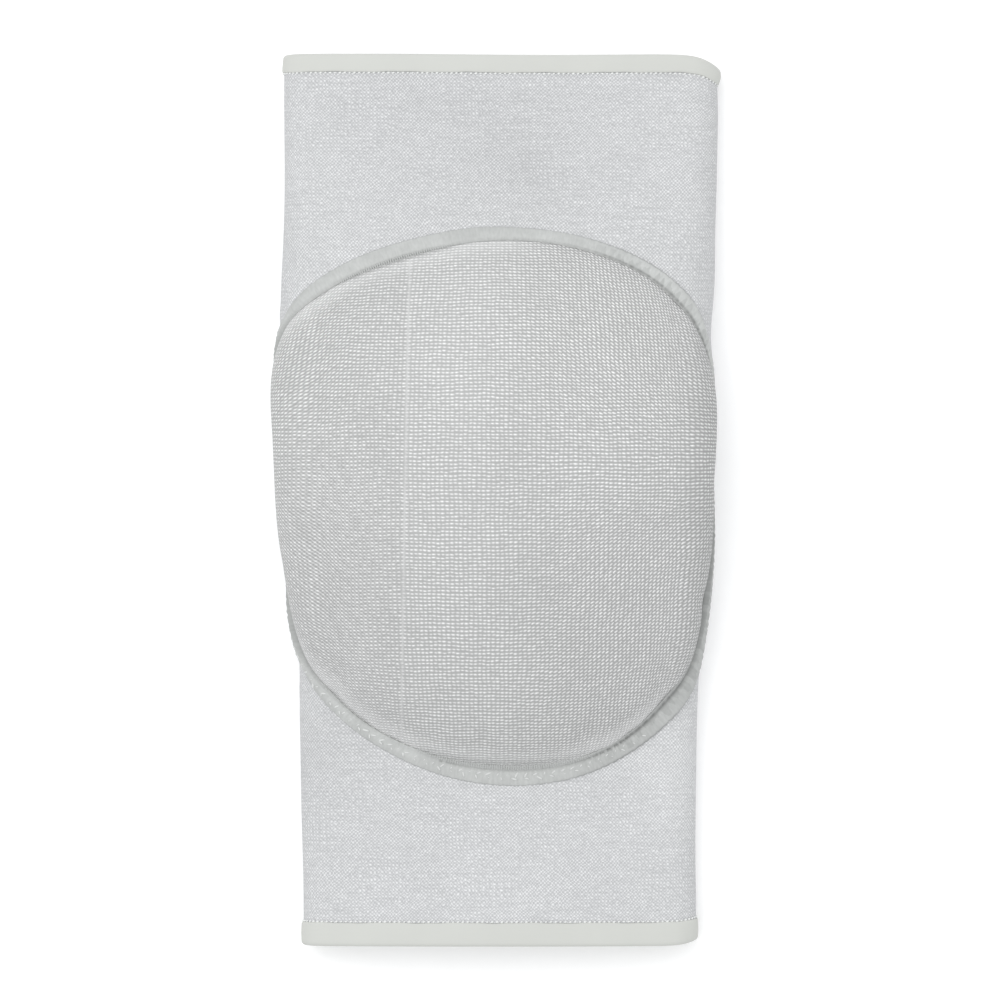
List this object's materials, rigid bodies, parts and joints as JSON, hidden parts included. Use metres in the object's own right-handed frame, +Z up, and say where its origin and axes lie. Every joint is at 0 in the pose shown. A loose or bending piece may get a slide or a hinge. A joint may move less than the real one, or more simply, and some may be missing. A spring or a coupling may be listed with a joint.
{
  "type": "volleyball knee pad",
  "caption": "Slip-on knitted knee sleeve, open at both ends, with folded elastic hems and a thick domed foam cushion sewn to its front under a knitted cover.",
  "frame": {"origin": "middle of the flat back that the knee pad lies on, halfway along the tube", "axes": "+X across the tube, +Y along the tube towards the thigh end, +Z up out of the cushion"},
  "size_m": [0.1289, 0.256, 0.058],
  "materials": {
    "sleeve_knit": "pale grey-white fine elastic knit",
    "hem_tape": "smooth warm white elastic tape",
    "foam": "soft cream cushioning foam",
    "cover_knit": "pale grey coarse knit",
    "overlock": "pale grey overlocked edge"
  },
  "bodies": {
    "root": {"sleeve": "sleeve_knit", "thigh_hem": "hem_tape", "calf_hem": "hem_tape", "foam_pad": "foam", "pad_cover": "cover_knit", "pad_seam_band": "overlock"}
  },
  "joints": []
}
